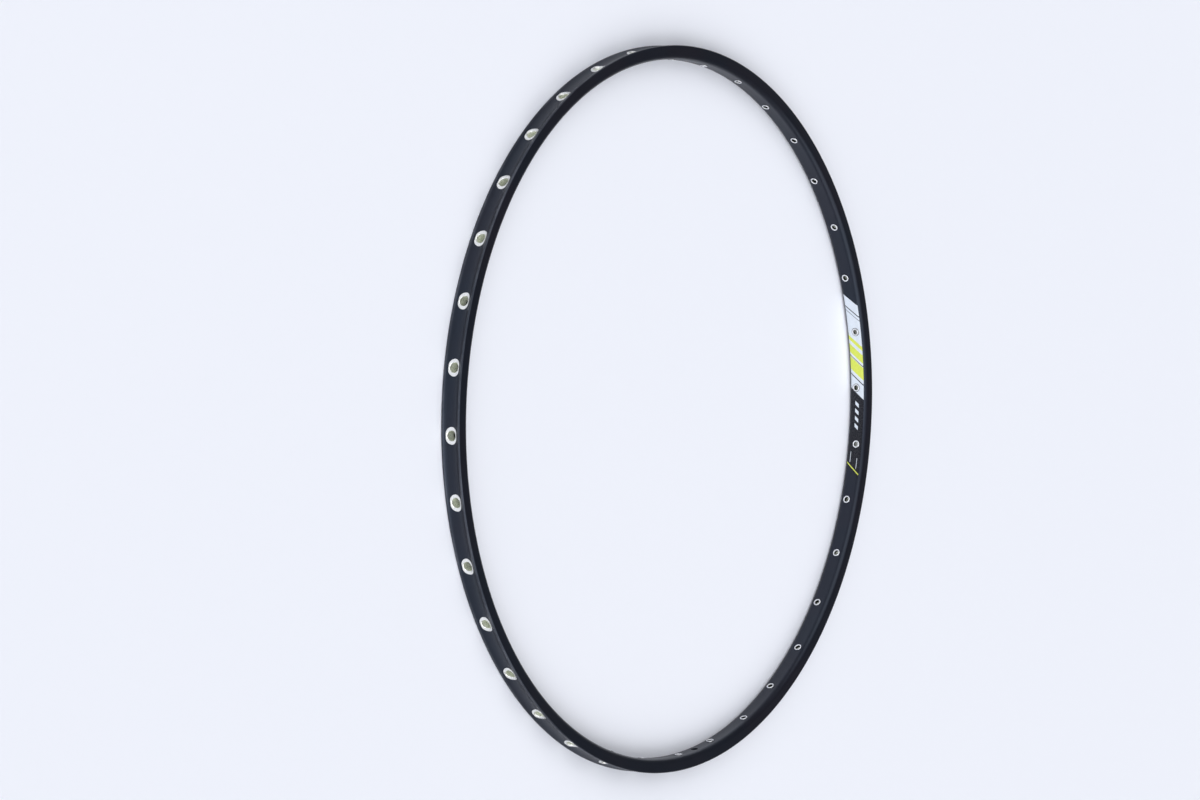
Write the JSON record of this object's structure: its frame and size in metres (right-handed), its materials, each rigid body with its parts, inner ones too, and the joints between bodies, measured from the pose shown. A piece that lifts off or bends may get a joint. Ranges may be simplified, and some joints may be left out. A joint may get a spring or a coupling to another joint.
{
  "type": "bicycle rim",
  "caption": "Narrow tubular bicycle rim: a hollow box-section alloy hoop with a concave tyre bed, double eyelets in staggered spoke holes, a valve hole and a label.",
  "frame": {"origin": "centre of the hoop, on the axle line and midway between the two sides", "axes": "+Z along the axle, up as the rim lies on its side; -Y through the valve hole; +Y through the joint"},
  "size_m": [0.633, 0.6329, 0.019],
  "materials": {
    "hard_anodised": "hard-anodised satin black",
    "bare_alloy": "as extruded",
    "stainless": "bright pressed",
    "plated_brass": "thin bright nickel",
    "label_film": "printed film"
  },
  "bodies": {
    "root": {"rim_hoop": "hard_anodised", "joint_sleeve": "bare_alloy", "eyelets": "stainless", "eyelet_sockets": "plated_brass", "label": "label_film"}
  },
  "joints": []
}
